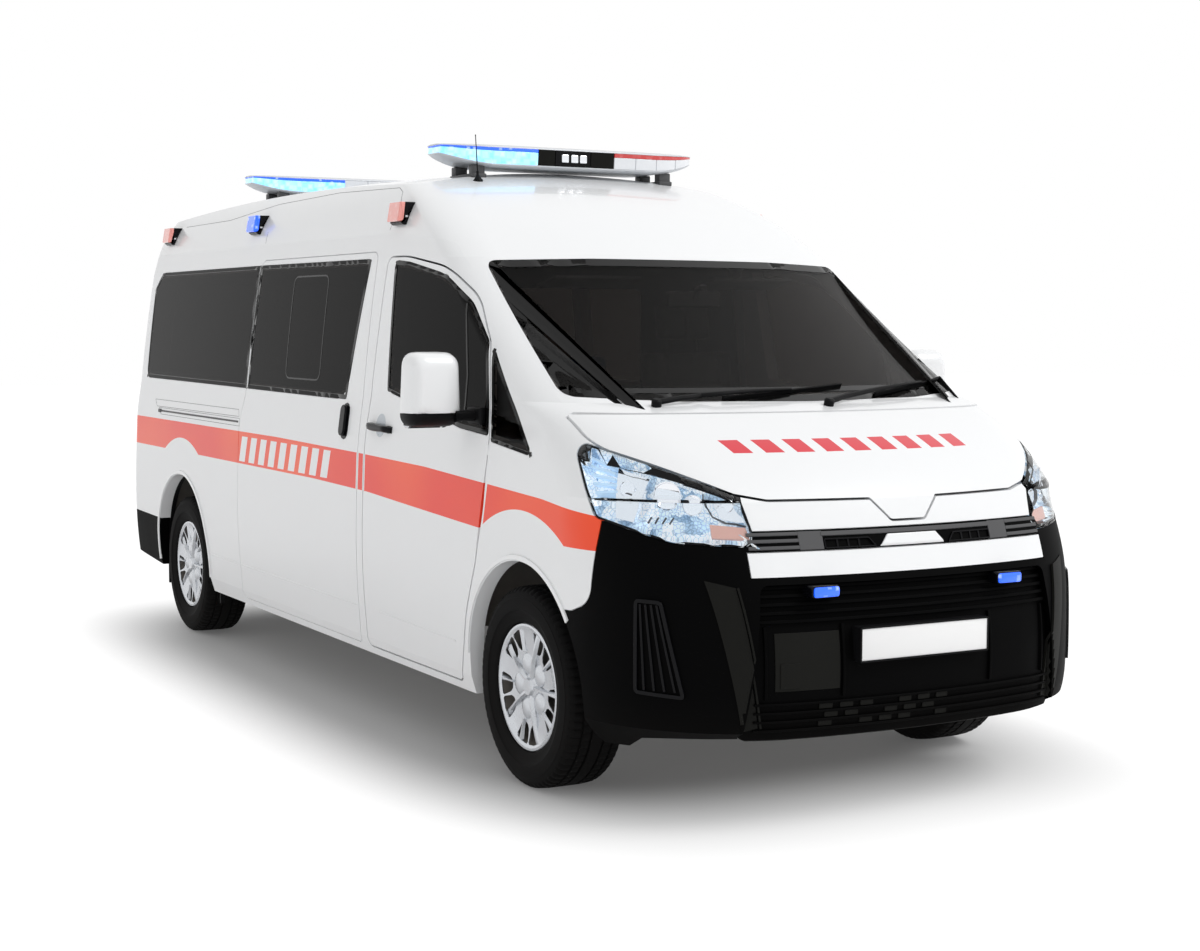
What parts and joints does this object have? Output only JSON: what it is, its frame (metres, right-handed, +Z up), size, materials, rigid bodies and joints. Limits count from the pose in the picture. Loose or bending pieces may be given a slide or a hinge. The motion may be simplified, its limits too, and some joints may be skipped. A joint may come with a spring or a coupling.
{
  "type": "high-roof ambulance van",
  "caption": "White high-roof ambulance van with an orange stripe, short bonnet, roof light bars, hinged doors, bonnet and tailgate, steered wheels and a fitted patient compartment",
  "frame": {"origin": "on the ground under the middle of the body, on its centre line", "axes": "+X forward to the bonnet, +Y to the vehicle's left, +Z up"},
  "size_m": [5.9154, 2.424, 2.3853],
  "materials": {
    "white_paint": "gloss",
    "black_plastic": "satin",
    "tinted_glass": "gloss",
    "windscreen_glass": "gloss",
    "lamp_lens": "gloss",
    "red_lens": "gloss",
    "blue_lens": "gloss",
    "plate_white": "satin",
    "tyre_rubber": "matte",
    "wheel_silver": "satin",
    "frame_black": "satin",
    "cast_metal": "matte",
    "exhaust_steel": "satin",
    "cab_plastic": "matte",
    "seat_cloth": "matte",
    "vinyl": "satin",
    "cabinet_white": "satin",
    "stretcher_metal": "satin"
  },
  "bodies": {
    "van": {"body_side_right": "white_paint", "body_side_left": "white_paint", "roof_panel": "white_paint", "front_wings": "white_paint", "front_bumper": "black_plastic", "nose_panels": "white_paint", "grilles": "black_plastic", "headlights": "lamp_lens", "number_plate": "plate_white", "cowl_panel": "white_paint", "windscreen": "windscreen_glass", "fixed_side_windows": "tinted_glass", "sliding_door": "white_paint", "sliding_door_glass": "tinted_glass", "rear_bumper": "black_plastic", "tail_lamps": "red_lens", "floor_pan": "frame_black", "front_bulkhead": "frame_black", "chassis_frame": "frame_black", "engine_block": "cast_metal", "rear_axle": "cast_metal", "propeller_shaft": "cast_metal", "leaf_springs": "frame_black", "exhaust": "exhaust_steel", "fuel_tank": "frame_black", "spare_wheel": "tyre_rubber", "dashboard": "cab_plastic", "front_seats": "seat_cloth", "partition": "cabinet_white", "side_bench": "vinyl", "medical_cabinet": "cabinet_white", "attendant_seat": "vinyl", "stretcher": "stretcher_metal", "light_bars": "blue_lens", "warning_lights": "red_lens", "antenna": "black_plastic"},
    "right_front_door": {"front_door_right": "white_paint", "front_door_glass_right": "tinted_glass", "door_mirror_right": "white_paint"},
    "left_front_door": {"front_door_left": "white_paint", "front_door_glass_left": "tinted_glass", "door_mirror_left": "white_paint"},
    "rear_tailgate": {"tailgate": "white_paint", "tailgate_glass": "tinted_glass"},
    "front_bonnet": {"bonnet": "white_paint"},
    "steering": {"steering_wheel": "cab_plastic"},
    "right_knuckle": {"knuckle_right": "cast_metal"},
    "left_knuckle": {"knuckle_left": "cast_metal"},
    "wheel_front_right": {"tyre_front_right": "tyre_rubber", "rim_front_right": "wheel_silver"},
    "wheel_front_left": {"tyre_front_left": "tyre_rubber", "rim_front_left": "wheel_silver"},
    "wheel_rear_right": {"tyre_rear_right": "tyre_rubber", "rim_rear_right": "wheel_silver"},
    "wheel_rear_left": {"tyre_rear_left": "tyre_rubber", "rim_rear_left": "wheel_silver"}
  },
  "joints": [
    {"name": "right_door_hinge", "type": "hinge", "parent": "van", "child": "right_front_door", "pos_m": [1.6915, -0.959, 1.15], "axis": [0, 0, 1], "range_deg": [0, 55]},
    {"name": "left_door_hinge", "type": "hinge", "parent": "van", "child": "left_front_door", "pos_m": [1.6915, 0.959, 1.15], "axis": [0, 0, -1], "range_deg": [0, 55]},
    {"name": "tailgate_hinge", "type": "hinge", "parent": "van", "child": "rear_tailgate", "pos_m": [-2.8563, 0, 1.949], "axis": [0, 1, 0], "range_deg": [0, 85]},
    {"name": "bonnet_hinge", "type": "hinge", "parent": "van", "child": "front_bonnet", "pos_m": [2.1555, 0, 1.304], "axis": [0, -1, 0], "range_deg": [0, 40]},
    {"name": "steering_column", "type": "hinge", "parent": "van", "child": "steering", "pos_m": [1.3105, 0.4, 1.165], "axis": [0.8192, 0, -0.5736], "range_deg": [-545, 545]},
    {"name": "right_steer", "type": "hinge", "parent": "van", "child": "right_knuckle", "pos_m": [1.9425, -0.706, 0.353], "axis": [0, 0.1874, 0.9823], "range_deg": [-33, 33]},
    {"name": "left_steer", "type": "hinge", "parent": "van", "child": "left_knuckle", "pos_m": [1.9425, 0.706, 0.353], "axis": [0, -0.1874, 0.9823], "range_deg": [-33, 33]},
    {"name": "spin_front_right", "type": "hinge", "parent": "right_knuckle", "child": "wheel_front_right", "pos_m": [1.9425, -0.835, 0.353], "axis": [0, 1, 0], "continuous": true},
    {"name": "spin_front_left", "type": "hinge", "parent": "left_knuckle", "child": "wheel_front_left", "pos_m": [1.9425, 0.835, 0.353], "axis": [0, 1, 0], "continuous": true},
    {"name": "spin_rear_right", "type": "hinge", "parent": "van", "child": "wheel_rear_right", "pos_m": [-1.9175, -0.835, 0.353], "axis": [0, 1, 0], "continuous": true},
    {"name": "spin_rear_left", "type": "hinge", "parent": "van", "child": "wheel_rear_left", "pos_m": [-1.9175, 0.835, 0.353], "axis": [0, 1, 0], "continuous": true}
  ],
  "couplings": [
    {"joint": "left_steer", "follows": "right_steer", "ratio": 1},
    {"joint": "steering_column", "follows": "right_steer", "ratio": -16.5}
  ]
}
